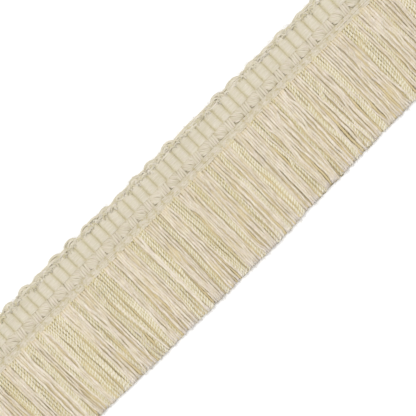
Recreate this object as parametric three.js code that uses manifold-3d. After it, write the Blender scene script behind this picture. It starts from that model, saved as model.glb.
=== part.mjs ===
// Brush fringe trim: a woven heading with a looped outer edge, and a deep two-layer fringe of cut yarns.
// Millimetres. X runs along the trim, +Y points to the looped edge, +Z is the face, and the back lies at Z = 0.

import * as THREE from "three";
import { mergeVertices } from "three/addons/utils/BufferGeometryUtils.js";
import Module from "manifold-3d";

const wasm = await Module();
wasm.setup();

// Driving dimensions of the trim
const RIB_PITCH = 3.42;
const REPEATS = 29;
const RIBS_PER_REPEAT = 2;
const LENGTH = REPEATS * RIBS_PER_REPEAT * RIB_PITCH;
const WIDTH = 44.9;
const GAP = 0.3;

// Heights of the heading's bands, from the loops' crests down to the fringe
const LOOP_BAND = 2.0;
const RIB_BAND = 5.9;
const LEAF_BAND = 3.2;
const ANCHOR_BAND = 2.5;
const LOOP_DIP = 1.0;
const LOOP_UNEVENNESS = 0.35;
const REPEATS_PER_HIGH_CREST = 7;

// The fringe's root strip is the last warps of the anchor band
const STRIP_WIDTH = 0.95;

// Places of the bands across the trim, whose middle is Y = 0
const CREST_Y = WIDTH / 2;
const TIP_Y = -WIDTH / 2;
const RIB_HEAD_Y = CREST_Y - LOOP_BAND;
const RIB_FOOT_Y = RIB_HEAD_Y - RIB_BAND;
const LEAF_FOOT_Y = RIB_FOOT_Y - LEAF_BAND;
const ROOT_Y = LEAF_FOOT_Y - ANCHOR_BAND;
const HEADING_FOOT_Y = ROOT_Y + STRIP_WIDTH + GAP;

// Columns of the heading's relief in one repeat, in rib pitches from its start.
// rib: place in the rib band. leaf: place in the leaf row. crest: how far the looped edge reaches, 0 to 1.
const COLUMNS = [
  { rib: 0.0, leaf: 0.05, crest: 1.0 },
  { rib: 0.16, leaf: 0.4, crest: 0.9 },
  { rib: 0.84, leaf: 0.76, crest: 0.2 },
  { rib: 1.0, leaf: 1.0, crest: 0.0 },
  { rib: 1.16, leaf: 1.35, crest: 0.1 },
  { rib: 1.84, leaf: 1.64, crest: 0.75 },
];

// Rows of the heading's relief, from the looped edge to the fringe, with the height of each of the six columns.
// slant: 0 where a row's points stand at their rib places, 1 where they stand at their leaf places.
// shift: how far the row's points stand along the trim from those places, in rib pitches.
const ROWS = [
  { name: "loop rim", y: CREST_Y, slant: 0, shift: 0, z: [1.0, 1.1, 0.9, 0.8, 1.0, 0.9] },
  { name: "loop crown", y: RIB_HEAD_Y + 0.75, slant: 0, shift: 0.1, z: [1.5, 1.9, 1.3, 1.6, 1.8, 1.3] },
  { name: "loop foot", y: RIB_HEAD_Y + 0.1, slant: 0, shift: 0, z: [1.15, 1.45, 1.45, 1.15, 1.45, 1.45] },
  { name: "rib head", y: RIB_HEAD_Y - 0.4, slant: 0, shift: 0, z: [1.4, 2.05, 2.05, 1.4, 2.05, 2.05] },
  { name: "rib foot", y: RIB_FOOT_Y + 0.45, slant: 0, shift: 0, z: [1.4, 2.05, 2.05, 1.4, 2.05, 2.05] },
  { name: "leaf arc", y: RIB_FOOT_Y - 0.05, slant: 0.5, shift: 0, z: [1.45, 1.4, 1.3, 1.45, 1.6, 1.45] },
  { name: "leaf back", y: RIB_FOOT_Y - 0.75, slant: 1, shift: -0.18, z: [2.0, 1.9, 1.3, 1.6, 1.95, 1.7] },
  { name: "leaf belly", y: RIB_FOOT_Y - 1.7, slant: 1, shift: 0, z: [1.8, 2.1, 1.45, 1.8, 1.95, 1.4] },
  { name: "leaf dot", y: RIB_FOOT_Y - 2.6, slant: 1, shift: 0.06, z: [1.3, 1.7, 1.75, 1.85, 1.85, 0.7] },
  { name: "leaf foot", y: LEAF_FOOT_Y, slant: 0.5, shift: 0, z: [1.35, 1.35, 1.4, 1.4, 1.45, 1.35] },
  { name: "anchor crown", y: LEAF_FOOT_Y - 0.65, slant: 0, shift: 0, z: [1.75, 2.0, 2.0, 1.75, 2.0, 2.0] },
  { name: "anchor foot", y: HEADING_FOOT_Y, slant: 0, shift: 0, z: [1.7, 1.95, 1.95, 1.7, 1.95, 1.95] },
];

// Layers of the fringe, the lowest first.
// base, height: the strands' underside and thickness. start: the first root, in strand pitches from the end.
// sway, wave: the most that tips lean along the trim, over that wavelength. turn: where the wave starts.
const LAYERS = [
  { name: "fringe_lower", base: 0.0, height: 0.95, strands: 145, start: 0.5, sway: 0.7, wave: 61, turn: 0.4 },
  { name: "fringe_upper", base: 1.3, height: 0.95, strands: 144, start: 1.0, sway: -0.7, wave: 47, turn: 2.1 },
];

// One strand: its widths along its length, its narrower top, and how it gathers into locks with its neighbours
const STRAND_PITCH = LENGTH / LAYERS[0].strands;
const STRAND = { root: 1.0, middle: 1.1, tip: 0.95, topShare: 0.75 };
const BEND_PLACE = 0.45;
const LOCK = { strands: 4.3, gather: 0.1 };
const KINK = 0.03;
const TIP_UNEVENNESS = 0.7;
const ROOT_SINK = 0.5;
const STRIP_RISE = 0.05;

const CREAM = 0xd9d0b8;
const ECRU = 0xd5c9ac;
const SHADED_ECRU = 0xcbbd9c;

// A repeatable uneven value from -1 to 1 for the whole number i.
function uneven(i, turn = 0) {
  return Math.sin(i * 12.9898 + turn * 3.7) * Math.cos(i * 4.1414 + turn);
}

// A geometry of the given points and of triangles that name them by their number.
function surface(points, triangles) {
  const geometry = new THREE.BufferGeometry();
  geometry.setAttribute("position", new THREE.Float32BufferAttribute(points.flat(), 3));
  geometry.setIndex(triangles.flat());
  return geometry;
}

// Two triangles over four points, which are named anticlockwise as seen from outside.
function quad(a, b, c, d) {
  return [
    [a, b, c],
    [a, c, d],
  ];
}

// The place along the trim of column number n of the relief, in the given row.
function columnX(n, row) {
  const last = REPEATS * COLUMNS.length;
  if (n === 0) return -LENGTH / 2;
  if (n === last) return LENGTH / 2;
  const column = COLUMNS[n % COLUMNS.length];
  const place = column.rib + (column.leaf - column.rib) * row.slant + row.shift;
  const repeat = Math.floor(n / COLUMNS.length);
  return -LENGTH / 2 + (repeat * RIBS_PER_REPEAT + place) * RIB_PITCH;
}

// How far the looped edge stays below the highest crest at column number n.
function loopDip(n) {
  if (n % (COLUMNS.length * REPEATS_PER_HIGH_CREST) === 0) return 0;
  const dip = LOOP_DIP * (1 - COLUMNS[n % COLUMNS.length].crest);
  return dip + LOOP_UNEVENNESS * Math.abs(uneven(n, 1));
}

// The heading: a relief on a flat back, closed by walls around its outline.
function headingGeometry() {
  const columns = REPEATS * COLUMNS.length + 1;
  const points = [];
  const triangles = [];
  ROWS.forEach((row, r) => {
    for (let n = 0; n < columns; n++) {
      const y = r === 0 ? row.y - loopDip(n) : row.y;
      points.push([columnX(n, row), y, row.z[n % COLUMNS.length]]);
    }
  });
  const top = (r, n) => r * columns + n;
  const lastRow = ROWS.length - 1;
  const lastColumn = columns - 1;
  for (let r = 0; r < lastRow; r++) {
    for (let n = 0; n < lastColumn; n++) {
      triangles.push(...quad(top(r, n), top(r + 1, n), top(r + 1, n + 1), top(r, n + 1)));
    }
  }

  // The flat back has the points of the first and the last row, dropped to Z = 0
  const backStart = points.length;
  for (const r of [0, lastRow]) {
    for (let n = 0; n < columns; n++) {
      const [x, y] = points[top(r, n)];
      points.push([x, y, 0]);
    }
  }
  const back = (side, n) => backStart + side * columns + n;
  for (let n = 0; n < lastColumn; n++) {
    triangles.push(...quad(back(0, n), back(0, n + 1), back(1, n + 1), back(1, n)));
    triangles.push(...quad(top(0, n), top(0, n + 1), back(0, n + 1), back(0, n)));
    triangles.push(...quad(top(lastRow, n + 1), top(lastRow, n), back(1, n), back(1, n + 1)));
  }

  // Each cut end is a fan from its lowest outer corner
  for (let r = 0; r < lastRow; r++) {
    triangles.push([back(0, 0), top(r + 1, 0), top(r, 0)]);
    triangles.push([back(0, lastColumn), top(r, lastColumn), top(r + 1, lastColumn)]);
  }
  triangles.push([back(0, 0), back(1, 0), top(lastRow, 0)]);
  triangles.push([back(0, lastColumn), top(lastRow, lastColumn), back(1, lastColumn)]);
  return surface(points, triangles);
}

// The four corners of a strand's section at the given place, with the given width.
function strandSection(layer, x, y, width) {
  const foot = width / 2;
  const head = foot * STRAND.topShare;
  const z = layer.base;
  return [
    [x - foot, y, z],
    [x + foot, y, z],
    [x + head, y, z + layer.height],
    [x - head, y, z + layer.height],
  ];
}

// One strand from inside its root strip to its cut tip, bent once.
function strandGeometry(layer, i) {
  const rootX = -LENGTH / 2 + (layer.start + i) * STRAND_PITCH;
  const lean = layer.sway * Math.sin((2 * Math.PI * rootX) / layer.wave + layer.turn);
  const gather = -LOCK.gather * Math.sin((2 * Math.PI * i) / LOCK.strands + layer.turn);
  const kink = KINK * uneven(i, layer.turn);
  const limit = LENGTH / 2 - STRAND.tip / 2;
  const tipX = Math.max(-limit, Math.min(limit, rootX + lean + gather + kink));
  const middleX = rootX + (tipX - rootX) * BEND_PLACE - 2 * kink;
  const tipY = TIP_Y + TIP_UNEVENNESS * Math.abs(uneven(i, layer.turn + 5));
  const middleY = ROOT_Y + (tipY - ROOT_Y) * BEND_PLACE;
  const points = [
    ...strandSection(layer, rootX, ROOT_Y + ROOT_SINK, STRAND.root),
    ...strandSection(layer, middleX, middleY, STRAND.middle),
    ...strandSection(layer, tipX, tipY, STRAND.tip),
  ];
  const triangles = [...quad(0, 3, 2, 1), ...quad(8, 9, 10, 11)];
  for (const start of [0, 4]) {
    for (let side = 0; side < 4; side++) {
      const next = (side + 1) % 4;
      triangles.push(...quad(start + side, start + next, start + 4 + next, start + 4 + side));
    }
  }
  return surface(points, triangles);
}

// The narrow strip that holds a layer's roots.
function stripGeometry(layer) {
  const height = layer.height + STRIP_RISE;
  const strip = new THREE.BoxGeometry(LENGTH, STRIP_WIDTH, height);
  return strip.translate(0, ROOT_Y + STRIP_WIDTH / 2, layer.base + height / 2);
}

// A closed geometry as a solid that can be joined with others.
function solid(geometry) {
  const bare = geometry.clone();
  bare.deleteAttribute("normal");
  bare.deleteAttribute("uv");
  const merged = mergeVertices(bare, 1e-4);
  return new wasm.Manifold(
    new wasm.Mesh({
      numProp: 3,
      vertProperties: merged.attributes.position.array,
      triVerts: new Uint32Array(merged.index.array),
    }),
  );
}

// A solid as a geometry.
function geometryOf(joined) {
  const mesh = joined.getMesh();
  const geometry = new THREE.BufferGeometry();
  geometry.setAttribute("position", new THREE.BufferAttribute(mesh.vertProperties, 3));
  geometry.setIndex(new THREE.BufferAttribute(mesh.triVerts, 1));
  return geometry;
}

// A layer of the fringe: its strands, apart from one another, joined to their root strip.
function fringeGeometry(layer) {
  let joined = solid(stripGeometry(layer));
  for (let i = 0; i < layer.strands; i++) {
    joined = joined.add(solid(strandGeometry(layer, i)));
  }
  return geometryOf(joined);
}

// A named piece of the trim in matt cotton of the given colour.
function piece(name, geometry, color) {
  geometry.computeVertexNormals();
  const cotton = new THREE.MeshStandardMaterial({ color, roughness: 0.95, metalness: 0 });
  cotton.flatShading = true;
  const mesh = new THREE.Mesh(geometry, cotton);
  mesh.name = name;
  return mesh;
}

const trim = new THREE.Group();
trim.name = "brush_fringe_trim";
trim.add(piece("heading", headingGeometry(), CREAM));
LAYERS.forEach((layer, i) => {
  trim.add(piece(layer.name, fringeGeometry(layer), i === 0 ? SHADED_ECRU : ECRU));
});

export default trim;
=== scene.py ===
"""Brush fringe trim: a ribbed, woven heading with a looped edge, and a deep fringe of cut cotton yarns.

X runs along the trim, +Y points to the looped edge, +Z is the face. Shapes are worked out in millimetres
and written into the meshes in metres.
"""
import math

import bpy
import numpy as np
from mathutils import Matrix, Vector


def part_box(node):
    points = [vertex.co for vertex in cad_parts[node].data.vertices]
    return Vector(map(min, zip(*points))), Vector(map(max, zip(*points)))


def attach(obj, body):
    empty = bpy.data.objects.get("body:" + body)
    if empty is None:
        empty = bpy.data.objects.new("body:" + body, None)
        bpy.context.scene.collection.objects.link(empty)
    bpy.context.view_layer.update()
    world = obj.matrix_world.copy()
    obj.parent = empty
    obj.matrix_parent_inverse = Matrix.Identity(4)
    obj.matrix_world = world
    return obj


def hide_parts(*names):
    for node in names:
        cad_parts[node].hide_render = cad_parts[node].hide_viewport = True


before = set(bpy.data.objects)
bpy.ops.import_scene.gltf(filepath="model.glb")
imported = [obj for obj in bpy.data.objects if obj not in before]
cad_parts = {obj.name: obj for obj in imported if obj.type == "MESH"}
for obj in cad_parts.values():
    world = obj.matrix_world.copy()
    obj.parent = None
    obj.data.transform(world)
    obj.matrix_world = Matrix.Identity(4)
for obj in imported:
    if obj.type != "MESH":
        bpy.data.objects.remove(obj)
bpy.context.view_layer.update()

MM = 0.001

# Places from the frame
HEADING_LOW, HEADING_HIGH = (np.array(corner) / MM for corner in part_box("heading"))
FRINGE_LOW, FRINGE_HIGH = (np.array(corner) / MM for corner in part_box("fringe_upper"))
LENGTH = HEADING_HIGH[0] - HEADING_LOW[0]
LEFT = -LENGTH / 2
CREST_Y = HEADING_HIGH[1]
TIP_Y = FRINGE_LOW[1]
TOP_Z = FRINGE_HIGH[2]

# The heading's bands, from the loops' crests down to the fringe
REPEATS = 29
RIBS = 2 * REPEATS
LOOP_BAND = 2.0
RIB_BAND = 5.9
LEAF_BAND = 3.2
ANCHOR_BAND = 2.5
RIB_HEAD_Y = CREST_Y - LOOP_BAND
RIB_FOOT_Y = RIB_HEAD_Y - RIB_BAND
LEAF_FOOT_Y = RIB_FOOT_Y - LEAF_BAND
ROOT_Y = LEAF_FOOT_Y - ANCHOR_BAND

# The ribs lie closer together towards the left end: this is how far it draws the middle ones to the left
RIB_DRAW = 1.7

# The picture looks straight down on the trim, which runs up to the right at this angle
TRIM_ANGLE = 45.1
PIXELS = 416
MM_PER_PIXEL = 0.298
LENS = 100
SENSOR = 36
VIEW_CENTRE = (-2.37, -0.13)


# Curves and random shapes

def smooth(low, high, value):
    """0 below low, 1 above high and an even S between."""
    t = np.clip((value - low) / (high - low), 0, 1)
    return t * t * (3 - 2 * t)


WANDER_WAVES = 14


def wander(rng, *spans):
    """A smooth random field over some coordinates, with a spread of 1, which changes over those spans."""
    ways = rng.normal(0, 1, (WANDER_WAVES, len(spans))) / np.array(spans)
    starts = rng.uniform(0, 2 * math.pi, WANDER_WAVES)

    def wave(way, start, at):
        return np.cos(sum(way[i] * at[i] for i in range(len(spans))) + start)

    def field(*at):
        return sum(wave(way, start, at) for way, start in zip(ways, starts)) * math.sqrt(2 / WANDER_WAVES)

    return field


def rib_x(phase):
    """Where the trim is that many ribs from its left end."""
    share = np.asarray(phase) / RIBS
    return LEFT + LENGTH * share - 4 * RIB_DRAW * share * (1 - share)


def smooth_path(points, steps):
    """A smooth path of that many steps through the given points, rows of xyz."""
    points = np.asarray(points, dtype=float)
    padded = np.concatenate([2 * points[:1] - points[1:2], points, 2 * points[-1:] - points[-2:-1]])
    path = []
    for place in np.linspace(0, len(points) - 1 - 1e-9, steps):
        i = int(place)
        u = place - i
        a, b, c, d = padded[i:i + 4]
        square = (2 * a - 5 * b + 4 * c - d) * u ** 2
        cube = (3 * b - a - 3 * c + d) * u ** 3
        path.append(0.5 * (2 * b + (c - a) * u + square + cube))
    return np.array(path)


# Meshes

def add_mesh(name, points, quads, tris, material, **attributes):
    """A smooth mesh object from points in millimetres. Each attribute is one number or vector a point."""
    quads = np.asarray(quads, dtype=np.int32).reshape(-1, 4)
    tris = np.asarray(tris, dtype=np.int32).reshape(-1, 3)
    corners = np.concatenate([quads.ravel(), tris.ravel()])
    starts = np.concatenate([np.arange(len(quads)) * 4, len(quads) * 4 + np.arange(len(tris)) * 3])
    mesh = bpy.data.meshes.new(name)
    mesh.vertices.add(len(points))
    mesh.vertices.foreach_set("co", (np.asarray(points) * MM).astype(np.float32).ravel())
    mesh.loops.add(len(corners))
    mesh.loops.foreach_set("vertex_index", corners)
    mesh.polygons.add(len(starts))
    mesh.polygons.foreach_set("loop_start", starts.astype(np.int32))
    mesh.polygons.foreach_set("use_smooth", np.ones(len(starts), dtype=bool))
    for key, values in attributes.items():
        values = np.asarray(values, dtype=np.float32)
        kind, field = ("FLOAT_VECTOR", "vector") if values.ndim == 2 else ("FLOAT", "value")
        mesh.attributes.new(key, kind, "POINT").data.foreach_set(field, values.ravel())
    mesh.update(calc_edges=True)
    mesh.validate()
    obj = bpy.data.objects.new(name, mesh)
    bpy.context.scene.collection.objects.link(obj)
    mesh.materials.append(material)
    return obj


def column(values):
    """Numbers, one for all or one for each strand, as a column."""
    return np.asarray(values, dtype=float).reshape(-1, 1)


def unit(vectors):
    return vectors / np.linalg.norm(vectors, axis=-1, keepdims=True)


def lengths_along(paths):
    """How far along its strand each step of it lies."""
    step_lengths = np.linalg.norm(np.diff(paths, axis=1), axis=2)
    return np.concatenate([np.zeros((len(paths), 1)), np.cumsum(step_lengths, axis=1)], axis=1)


def tube_points(paths, reach, flat, angle):
    """The points of the tubes, that far out from the paths at those angles."""
    tangent = unit(np.gradient(paths, axis=1))
    across = unit(np.cross((0.0, 0.0, 1.0), tangent))
    rise = np.cross(tangent, across)
    return (
        paths[:, :, None, :]
        + (reach * np.cos(angle))[..., None] * across[:, :, None, :]
        + (reach * flat * np.sin(angle))[..., None] * rise[:, :, None, :]
    )


def tube_faces(strands, steps, sides):
    """The quads round the tubes, and the triangles at their ends, whose middles are the last points."""
    ring = np.arange(sides)
    after = (ring + 1) % sides
    first = (np.arange(strands) * steps * sides)[:, None, None]
    row = first + (np.arange(steps - 1) * sides)[None, :, None]
    quads = np.stack([row + ring, row + after, row + sides + after, row + sides + ring], axis=-1)
    start_ring = first[:, 0, :] + ring
    end_ring = start_ring + (steps - 1) * sides
    start_centre = np.broadcast_to(strands * steps * sides + np.arange(strands)[:, None], start_ring.shape)
    end_centre = start_centre + strands
    tris = np.concatenate([
        np.stack([start_centre, np.roll(start_ring, -1, 1), start_ring], -1),
        np.stack([end_centre, end_ring, np.roll(end_ring, -1, 1)], -1),
    ])
    return quads.reshape(-1, 4), tris.reshape(-1, 3)


# How much painted shade goes on a yarn's sides and in the grooves between its plies, and how narrow the
# shaded sides are
FLANK_SHADE = 0.75
FLANK_POWER = 1.4
GROOVE_SHADE = 2.4
# How far apart the grains of two strands lie, so that each has its own
GRAIN_APART = 37.0


def tubes(paths, radius, sides=8, lobes=0, groove=0.0, pitch=None, flat=1.0, spin=0.0, tone=0.0, deep=0.0,
          uneven=1.0):
    """Yarns along paths, an array of strands, steps and xyz, as one set of closed tubes.

    radius is one for all, or an array of strands and steps. lobes are the plies that show round a yarn,
    with grooves of that share of the radius between them, which turn once in pitch millimetres,
    right-handed. flat squashes the yarn from above, and uneven scales its radius, for strands, steps and
    sides. tone is the yarn's own tone. The argument after tone, for strands and steps, is painted shade that
    stands for the shade of other yarns, 0 to 1. Painted shade also goes on a yarn's sides and in its
    grooves, and a value below 0 in that argument takes from it.
    """
    paths = np.asarray(paths, dtype=float)
    strands, steps, _ = paths.shape
    radius = np.broadcast_to(np.asarray(radius, dtype=float), (strands, steps))[:, :, None]
    length = lengths_along(paths)
    turn = np.broadcast_to(column(spin), (strands, 1))
    if pitch is not None:
        turn = turn + 2 * math.pi * length / column(pitch)
    own = np.arange(sides) * 2 * math.pi / sides
    dip = 1 - np.abs(np.cos(lobes * own / 2))
    angle = own + turn[:, :, None]
    points = tube_points(paths, radius * (1 - groove * dip) * uneven, flat, angle)
    shape = points.shape[:3]
    # Painted shade: a yarn's sides and the grooves between its plies are painted darker, on top of the
    # painted shade given for each strand and step
    side_shade = (1 - np.abs(np.sin(angle))) ** FLANK_POWER
    base = np.broadcast_to(np.asarray(deep, dtype=float), (strands, steps))[:, :, None]
    hollow = np.clip(base + FLANK_SHADE * side_shade + GROOVE_SHADE * groove * dip, 0, 1) * np.ones(shape)
    grain_length = length[:, :, None] + GRAIN_APART * np.arange(strands)[:, None, None]
    grain = np.stack(np.broadcast_arrays(np.cos(own) * radius, np.sin(own) * radius, grain_length), axis=-1)
    tones = np.broadcast_to(column(tone)[:, :, None], shape)
    quads, tris = tube_faces(strands, steps, sides)
    ends = [0, -1]
    return {
        "points": np.concatenate([points.reshape(-1, 3)] + [paths[:, end] for end in ends]),
        "quads": quads,
        "tris": tris,
        "tone": np.concatenate([tones.ravel()] + [tones[:, end, 0] for end in ends]),
        "hollow": np.concatenate([hollow.ravel()] + [hollow[:, end].mean(axis=1) for end in ends]),
        "grain": np.concatenate([grain.reshape(-1, 3)] + [grain[:, end].mean(axis=1) for end in ends]),
    }


def joined(parts):
    """Several sets of tubes as one."""
    counts = np.cumsum([0] + [len(part["points"]) for part in parts])
    whole = {}
    for key in ("quads", "tris"):
        whole[key] = np.concatenate([part[key] + count for part, count in zip(parts, counts)])
    for key in ("points", "tone", "hollow", "grain"):
        whole[key] = np.concatenate([part[key] for part in parts])
    return whole


def finished(obj):
    """The object as a piece that rides on the trim."""
    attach(obj, "root")
    return obj


def yarn_piece(name, parts, material):
    """A piece made of tubes."""
    yarn = joined(parts)
    return finished(
        add_mesh(
            name, yarn["points"], yarn["quads"], yarn["tris"], material,
            tone=yarn["tone"], hollow=yarn["hollow"], grain=yarn["grain"],
        ),
    )


# Materials

def srgb(red, green, blue):
    """An sRGB colour, 0 to 255, as a linear RGBA."""
    channels = [c / 255 for c in (red, green, blue)]
    return [c / 12.92 if c <= 0.04045 else ((c + 0.055) / 1.055) ** 2.4 for c in channels] + [1.0]


def math_node(nodes, links, operation, *inputs):
    """A Math node fed with numbers or with other nodes' outputs, and its output."""
    node = nodes.new("ShaderNodeMath")
    node.operation = operation
    for socket, value in zip(node.inputs, inputs):
        if isinstance(value, (int, float)):
            socket.default_value = value
        else:
            links.new(value, socket)
    return node.outputs[0]


def mix_node(nodes, links, factor, first, second):
    """A Mix of two colours, each a colour or another node's output."""
    node = nodes.new("ShaderNodeMix")
    node.data_type = "RGBA"
    links.new(factor, node.inputs["Factor"])
    for socket, value in ((node.inputs["A"], first), (node.inputs["B"], second)):
        if isinstance(value, list):
            socket.default_value = value
        else:
            links.new(value, socket)
    return node.outputs["Result"]


def attribute_output(nodes, name, output):
    """An attribute of the mesh, for use in its material."""
    node = nodes.new("ShaderNodeAttribute")
    node.attribute_name = name
    return node.outputs[output]


def grain_noise(nodes, links, changes):
    """Noise over the yarns' grain, which changes about so often a millimetre across and along them."""
    mapping = nodes.new("ShaderNodeMapping")
    mapping.inputs["Scale"].default_value = changes
    links.new(attribute_output(nodes, "grain", "Vector"), mapping.inputs["Vector"])
    noise = nodes.new("ShaderNodeTexNoise")
    noise.inputs["Scale"].default_value = 1.0
    noise.inputs["Detail"].default_value = 3.0
    links.new(mapping.outputs["Vector"], noise.inputs["Vector"])
    return noise.outputs["Fac"]


FIBRE_CHANGES = (4.5, 4.5, 1.3)
PATCH_CHANGES = (0.6, 0.6, 0.35)
BLUSH_CHANGES = (0.9, 0.9, 0.55)
# How far from dark to light a yarn's own tone takes it
TONE_REACH = 0.3
# Unbleached cotton has rosier stretches, whose red, green and blue are these shares of the rest
BLUSH = (1.01, 0.975, 1.03)
# The noise that says where they are is drawn out so that their edges show
BLUSH_CONTRAST = 4.0
BLUSH_OFFSET = -1.6
SPECULAR = 0.2
SHEEN_ROUGHNESS = 0.6
RELIEF_STRENGTH = 0.35
RELIEF_HEIGHT = 0.08


def tinted(colour, tint):
    return [channel * share for channel, share in zip(colour, tint)] + [1.0]


def cotton_colour(nodes, links, fibre, dark, light, shade_colour, uneven):
    """The colour of cotton yarn over the noise of its fibres."""
    mottle = math_node(nodes, links, "ADD", fibre, grain_noise(nodes, links, PATCH_CHANGES))
    tone = attribute_output(nodes, "tone", "Fac")
    toned = math_node(nodes, links, "MULTIPLY_ADD", tone, TONE_REACH, 0.5 - uneven)
    shade = math_node(nodes, links, "MULTIPLY_ADD", mottle, uneven, toned)
    plain = mix_node(nodes, links, shade, dark, light)
    rosy = mix_node(nodes, links, shade, tinted(dark, BLUSH), tinted(light, BLUSH))
    blush = grain_noise(nodes, links, BLUSH_CHANGES)
    rosiness = math_node(nodes, links, "MULTIPLY_ADD", blush, BLUSH_CONTRAST, BLUSH_OFFSET)
    surface = mix_node(nodes, links, rosiness, plain, rosy)
    # Painted shade: the colour goes towards the shade colour as far as the mesh's painted shade says
    return mix_node(nodes, links, attribute_output(nodes, "hollow", "Fac"), surface, shade_colour)


def cotton(name, dark, light, shade_colour, uneven=1.0, sheen=0.12, roughness=0.9):
    """Cotton yarn whose colour goes from dark to light with the yarn's tone, uneven along its fibres and
    rosier in places, and goes towards a painted shade colour where the mesh carries painted shade."""
    material = bpy.data.materials.new(name)
    material.use_nodes = True
    nodes, links = material.node_tree.nodes, material.node_tree.links
    shader = nodes["Principled BSDF"]
    shader.inputs["Roughness"].default_value = roughness
    shader.inputs["Specular IOR Level"].default_value = SPECULAR
    shader.inputs["Sheen Weight"].default_value = sheen
    shader.inputs["Sheen Roughness"].default_value = SHEEN_ROUGHNESS
    fibre = grain_noise(nodes, links, FIBRE_CHANGES)
    colour = cotton_colour(nodes, links, fibre, dark, light, shade_colour, uneven)
    links.new(colour, shader.inputs["Base Color"])
    relief = nodes.new("ShaderNodeBump")
    relief.inputs["Strength"].default_value = RELIEF_STRENGTH
    relief.inputs["Distance"].default_value = RELIEF_HEIGHT * MM
    links.new(fibre, relief.inputs["Height"])
    links.new(relief.outputs["Normal"], shader.inputs["Normal"])
    return material


def plain_floor():
    material = bpy.data.materials.new("pale_floor")
    material.use_nodes = True
    shader = material.node_tree.nodes["Principled BSDF"]
    shader.inputs["Base Color"].default_value = srgb(250, 250, 250)
    shader.inputs["Roughness"].default_value = 0.9
    shader.inputs["Specular IOR Level"].default_value = 0.1
    return material


# Each cotton's third colour is a painted shade colour, which its yarns darken towards in gaps, grooves and
# on their sides
HEADING_COTTON = cotton("heading_cotton", srgb(204, 198, 178), srgb(227, 221, 207), srgb(199, 189, 150))
# The bundles' cotton is a little pinker than the heading's, its own tint, and darker, which is painted shade
# for the bundles lying more in the shade
SHADED_BUNDLE_COTTON = cotton("shaded_bundle_cotton", srgb(194, 186, 165), srgb(218, 211, 194), srgb(184, 172, 137))
SOFT_COTTON = cotton(
    "soft_cotton", srgb(203, 193, 176), srgb(229, 222, 208), srgb(205, 187, 136), uneven=2.2, sheen=0.15,
)
TWIST_COTTON = cotton(
    "twist_cotton", srgb(206, 199, 174), srgb(234, 229, 211), srgb(198, 184, 136), uneven=1.5, roughness=0.7,
)
# The loose fibres let light through, so they look paler than the yarns
FLUFF_COTTON = cotton("fluff_cotton", srgb(214, 210, 202), srgb(234, 231, 225), srgb(214, 208, 196))


# Heading

WARPS_ON_A_RIB = 16
WARP_RADIUS = 0.2
WARP_FLATNESS = 0.6
WARP_MIDDLE_Z = 1.05
WARP_SWING = 0.78
# How much higher than the middle two warps cross in the groove between two ribs
WARP_CROSSING = 0.3
# Steps of a warp over one rib, closest together where it dives
WARP_STEPS = np.array([0.0, 0.06, 0.14, 0.3, 0.7, 0.86, 0.94])
# The warps' band is this much shorter than the ribs and starts this far below their feet
WARPS_SHORTER = 0.3
WARPS_BELOW = 0.1
# The outermost warps lie a little lower, so that each rib has rounded ends
RIB_END_DROP = 0.16
RIB_END_POWER = 10
# How unevenly the warps lie, and how unevenly their painted shade falls
WARP_SWAY = 0.05
WARP_STRAY = {"x": 0.05, "y": 0.015, "z": 0.01, "deep": 0.08}
WARP_TONES = (0.3, 1.3)


def rib_wave(phase):
    """A warp's height over and under the ribs, -1 to 1: it lies flat over a rib and dives between two."""
    swing = np.sin(math.pi * phase)
    return np.sign(swing) * np.abs(swing) ** 0.5


def rib_warps(rng):
    """The fine warps that cover the ribs: two sets, each over every second rib and under the others."""
    phase = np.append((np.arange(RIBS)[:, None] + WARP_STEPS[None, :]).ravel(), RIBS)
    x = rib_x(phase)
    pitch = (RIB_BAND - WARPS_SHORTER) / WARPS_ON_A_RIB
    sway = wander(rng, 9.0, 2.0)
    number = np.arange(WARPS_ON_A_RIB)[:, None]
    crown = 1 - RIB_END_DROP * np.abs((number + 0.5) / WARPS_ON_A_RIB * 2 - 1) ** RIB_END_POWER
    parts = []
    for group in range(2):
        y = RIB_FOOT_Y - WARPS_BELOW + (number + 0.25 + 0.5 * group) * pitch + 0 * x
        y = y + WARP_SWAY * sway(x, y) + WARP_STRAY["y"] * rng.standard_normal(y.shape)
        wave = rib_wave(phase + group)
        z = WARP_MIDDLE_Z + WARP_SWING * wave * crown + WARP_CROSSING * (1 - np.abs(wave))
        z = z + WARP_STRAY["z"] * rng.standard_normal(y.shape)
        paths = np.stack([x + WARP_STRAY["x"] * rng.standard_normal(y.shape), y, z], axis=-1)
        # Painted shade where a warp dives under the ribs into a groove
        deep = 1 - np.abs(wave) + WARP_STRAY["deep"] * rng.standard_normal(y.shape)
        tone = rng.uniform(*WARP_TONES, WARPS_ON_A_RIB)
        parts.append(tubes(paths, WARP_RADIUS, sides=5, flat=WARP_FLATNESS, tone=tone, deep=deep))
    return parts


# The ground cloth under the yarns, from the looped edge to the fringe: how high its face and its back lie
# in the grooves between the ribs and on the ribs
GROUND_ROWS = [
    {"down": -0.9, "face": (0.9, 0.9), "back": (0.35, 0.35)},
    {"down": 0.1, "face": (1.2, 1.3), "back": (0.4, 0.4)},
    {"down": 0.7, "face": (1.2, 1.68), "back": (0.85, 0.45)},
    {"down": 5.65, "face": (1.2, 1.68), "back": (0.85, 0.45)},
    {"down": 6.1, "face": (1.25, 1.45), "back": (0.6, 0.4)},
    {"down": 7.0, "face": (1.45, 1.5), "back": (0.4, 0.35)},
    {"down": 9.1, "face": (1.45, 1.5), "back": (0.4, 0.35)},
    {"down": 9.7, "face": (1.55, 1.65), "back": (0.4, 0.35)},
    {"down": 11.6, "face": (1.4, 1.65), "back": (0.4, 0.35)},
]
GROUND_STEPS = 8
GROUND_ROW_STEP = 0.4
GROUND_HUMP_POWER = 0.4
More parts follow.
